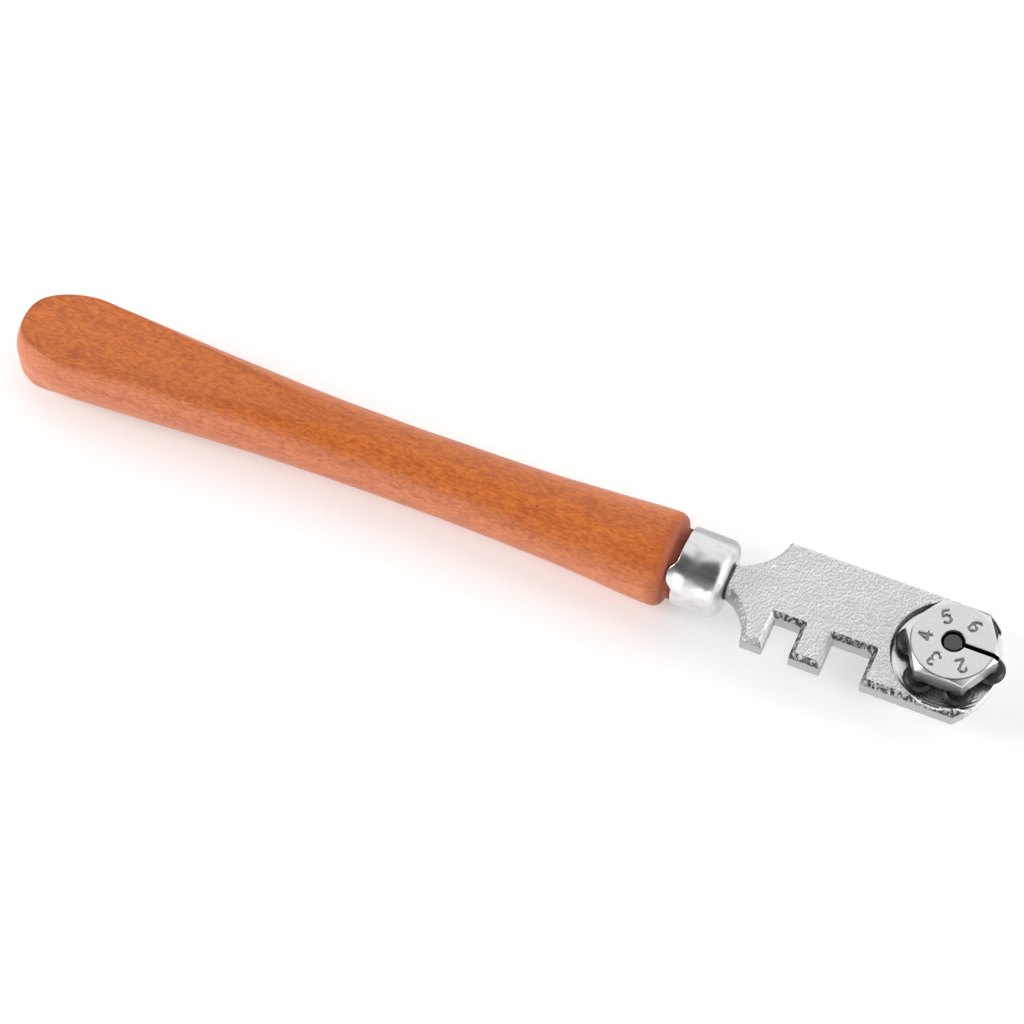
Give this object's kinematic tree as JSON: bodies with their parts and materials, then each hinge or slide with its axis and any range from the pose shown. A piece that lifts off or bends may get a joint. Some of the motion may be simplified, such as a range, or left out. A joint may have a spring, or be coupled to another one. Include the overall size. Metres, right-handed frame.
{
  "type": "glass cutter",
  "caption": "Handheld glass cutter: wooden handle, metal ferrule, notched head plate and a turning turret of small cutting wheels, for scoring and breaking flat glass.",
  "frame": {"origin": "centre of the footprint, at the height of the lowest point of the handle's shoulder", "axes": "+X along the tool towards the cutting tip, +Z out of the numbered face of the turret, notches open towards -Y"},
  "size_m": [0.13, 0.015, 0.012],
  "materials": {
    "stained_wood": "orange-brown stain under satin lacquer, fine grain along the handle",
    "nickel_ferrule": "bright drawn nickel-plated sheet",
    "plated_casting": "plated casting with a fine pebbled skin",
    "turret_nickel": "satin nickel-plated steel with stamped digits",
    "wheel_steel": "dark hardened ground steel",
    "axle_steel": "plain steel pin",
    "fastener_steel": "oiled steel fastener"
  },
  "bodies": {
    "tool_frame": {"handle": "stained_wood", "ferrule": "nickel_ferrule", "head_plate": "plated_casting"},
    "turret": {"turret_body": "turret_nickel", "axle_1": "axle_steel", "axle_2": "axle_steel", "axle_3": "axle_steel", "axle_4": "axle_steel", "axle_5": "axle_steel", "axle_6": "axle_steel"},
    "wheel_1": {"wheel_1": "wheel_steel"},
    "wheel_2": {"wheel_2": "wheel_steel"},
    "wheel_3": {"wheel_3": "wheel_steel"},
    "wheel_4": {"wheel_4": "wheel_steel"},
    "wheel_5": {"wheel_5": "wheel_steel"},
    "wheel_6": {"wheel_6": "wheel_steel"},
    "washer": {"spring_washer": "fastener_steel"},
    "screw": {"clamp_screw": "fastener_steel"}
  },
  "joints": [
    {"name": "turret_turn", "type": "hinge", "parent": "tool_frame", "child": "turret", "pos_m": [0.0582, 0, 0.0077], "axis": [0, 0, 1], "continuous": true},
    {"name": "wheel_1_spin", "type": "hinge", "parent": "turret", "child": "wheel_1", "pos_m": [0.06305, 0, 0.00735], "axis": [0, 0, 1], "continuous": true},
    {"name": "wheel_2_spin", "type": "hinge", "parent": "turret", "child": "wheel_2", "pos_m": [0.06062, -0.0042, 0.00735], "axis": [0, 0, 1], "continuous": true},
    {"name": "wheel_3_spin", "type": "hinge", "parent": "turret", "child": "wheel_3", "pos_m": [0.05577, -0.0042, 0.00735], "axis": [0, 0, 1], "continuous": true},
    {"name": "wheel_4_spin", "type": "hinge", "parent": "turret", "child": "wheel_4", "pos_m": [0.05335, 0, 0.00735], "axis": [0, 0, 1], "continuous": true},
    {"name": "wheel_5_spin", "type": "hinge", "parent": "turret", "child": "wheel_5", "pos_m": [0.05577, 0.0042, 0.00735], "axis": [0, 0, 1], "continuous": true},
    {"name": "wheel_6_spin", "type": "hinge", "parent": "turret", "child": "wheel_6", "pos_m": [0.06062, 0.0042, 0.00735], "axis": [0, 0, 1], "continuous": true},
    {"name": "screw_travel", "type": "slide", "parent": "tool_frame", "child": "washer", "axis": [0, 0, -1], "range_m": [0, 0.0009]},
    {"name": "screw_turn", "type": "hinge", "parent": "washer", "child": "screw", "pos_m": [0.0582, 0, 0.0036], "axis": [0, 0, -1], "range_deg": [0, 722]}
  ],
  "couplings": [
    {"joint": "screw_turn", "follows": "screw_travel", "rad_per_m": 13963}
  ]
}
